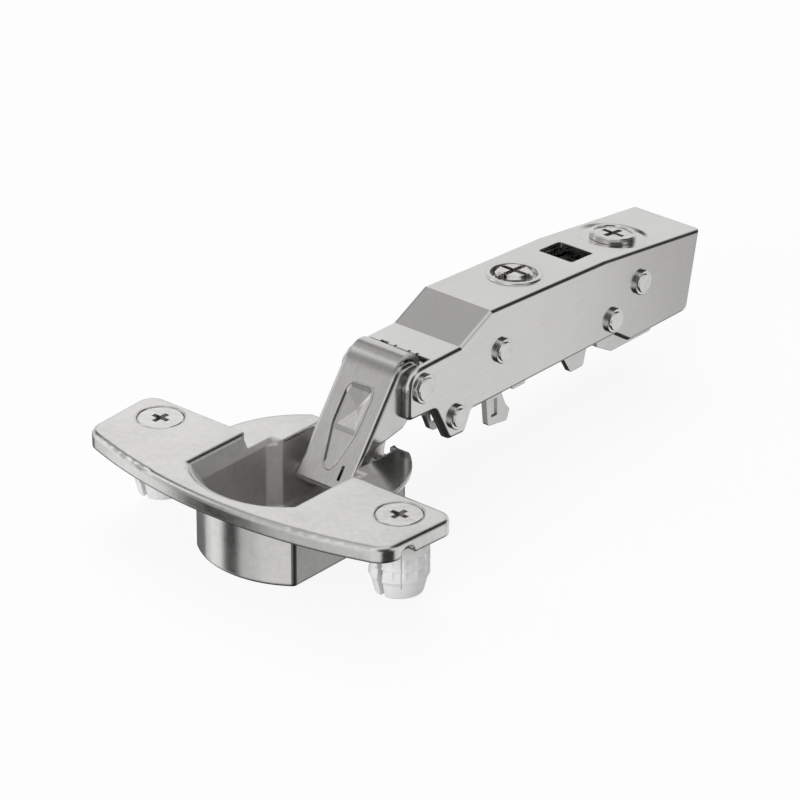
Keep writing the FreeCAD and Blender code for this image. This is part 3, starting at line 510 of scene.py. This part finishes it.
# the studio round the part: white to the camera, and for the metal a pale tent
# with grey gaps and bright cards between its panels, where a later one covers an earlier one
tentSetup = {
    "panel": 0.84,
    "gaps": [
        # azimuth and elevation, inner and outer angle, all in degrees, and the brightness inside
        {"az": 173, "el": 54, "inner": 14, "outer": 40, "level": 0.50},
        {"az": 227, "el": 31, "inner": 12, "outer": 38, "level": 0.60},
        {"az": 236, "el": -26, "inner": 10, "outer": 34, "level": 0.62},
        {"az": 203, "el": 34, "inner": 7, "outer": 16, "level": 1.3},
        {"az": 206, "el": 4, "inner": 6, "outer": 15, "level": 1.25},
        {"az": 205, "el": -25, "inner": 5, "outer": 12, "level": 1.02},
        {"az": 282, "el": 37, "inner": 6, "outer": 16, "level": 1.1},
        {"az": 56, "el": 36, "inner": 22, "outer": 38, "level": 0.03},
        {"az": 62, "el": -20, "inner": 2, "outer": 10, "level": 0.35},
        {"az": 136, "el": 26, "inner": 2, "outer": 6, "level": 1.08},
        {"az": 331, "el": 22, "inner": 22, "outer": 40, "level": 0.05},
        {"az": 350, "el": -27, "inner": 22, "outer": 34, "level": 0.05},
        {"az": 165, "el": -27, "inner": 13, "outer": 21, "level": 0.18},
        {"az": 229.5, "el": -27, "inner": 4, "outer": 13, "level": 0.06},
        {"az": 231, "el": 1, "inner": 3, "outer": 12, "level": 0.10},
        {"az": 156, "el": 36, "inner": 6, "outer": 15, "level": 0.05},
        {"az": 0, "el": -90, "inner": 40, "outer": 56, "level": 0.03},
    ],
}


def makeTent(setup):
    world = bpy.data.worlds.new("studioTent")
    bpy.context.scene.world = world
    world.use_nodes = True
    tree = world.node_tree
    tree.nodes.clear()
    output = tree.nodes.new("ShaderNodeOutputWorld")
    direction = addNode(tree, "ShaderNodeTexCoord").outputs["Generated"]
    level = addNode(tree, "ShaderNodeValue").outputs[0]
    level.default_value = setup["panel"]
    for gap in setup["gaps"]:
        azimuth, elevation, inner, outer = [math.radians(gap[key]) for key in ("az", "el", "inner", "outer")]
        centre = (math.cos(azimuth) * math.cos(elevation), math.sin(azimuth) * math.cos(elevation),
                  math.sin(elevation))
        facing = addNode(tree, "ShaderNodeVectorMath", {"operation": "DOT_PRODUCT"}, _0=direction,
                         _1=centre).outputs["Value"]
        share = patternValue(tree, facing).rise(math.cos(outer), math.cos(inner))
        level = addNode(tree, "ShaderNodeMix", {"data_type": "FLOAT"}, _0=share.socket, _2=level,
                        _3=gap["level"]).outputs[0]
    tent = addNode(tree, "ShaderNodeBackground", None, Color=(1, 1, 1, 1), Strength=level).outputs[0]
    white = addNode(tree, "ShaderNodeBackground", None, Color=(1, 1, 1, 1), Strength=1.0).outputs[0]
    rays = addNode(tree, "ShaderNodeLightPath")
    mix = addNode(tree, "ShaderNodeMixShader", None, _0=rays.outputs["Is Camera Ray"], _1=tent, _2=white)
    tree.links.new(mix.outputs[0], output.inputs["Surface"])


makeTent(tentSetup)

# soft lamps, both aimed at the middle of the part, places and sizes in metres
lampSetup = {
    "overhead": {"at": (-0.5, 0.5, 0.9), "size": 0.7, "watts": 4.0},
    "frontFill": {"at": (0.1, -1.1, 0.35), "size": 0.8, "watts": 7.0},
}


def placeLamps(setup):
    centre = (cadBox[0] + cadBox[1]) / 2
    for name, lamp in setup.items():
        data = bpy.data.lights.new(name, "AREA")
        data.shape = "DISK"
        data.size = lamp["size"]
        data.energy = lamp["watts"]
        light = bpy.data.objects.new(name, data)
        light.location = lamp["at"]
        light.rotation_euler = (centre - Vector(lamp["at"])).to_track_quat("-Z", "Y").to_euler()
        light.visible_glossy = False
        bpy.context.scene.collection.objects.link(light)


placeLamps(lampSetup)
bpy.context.scene.view_settings.view_transform = "Standard"
print("camera, floor and lights placed")
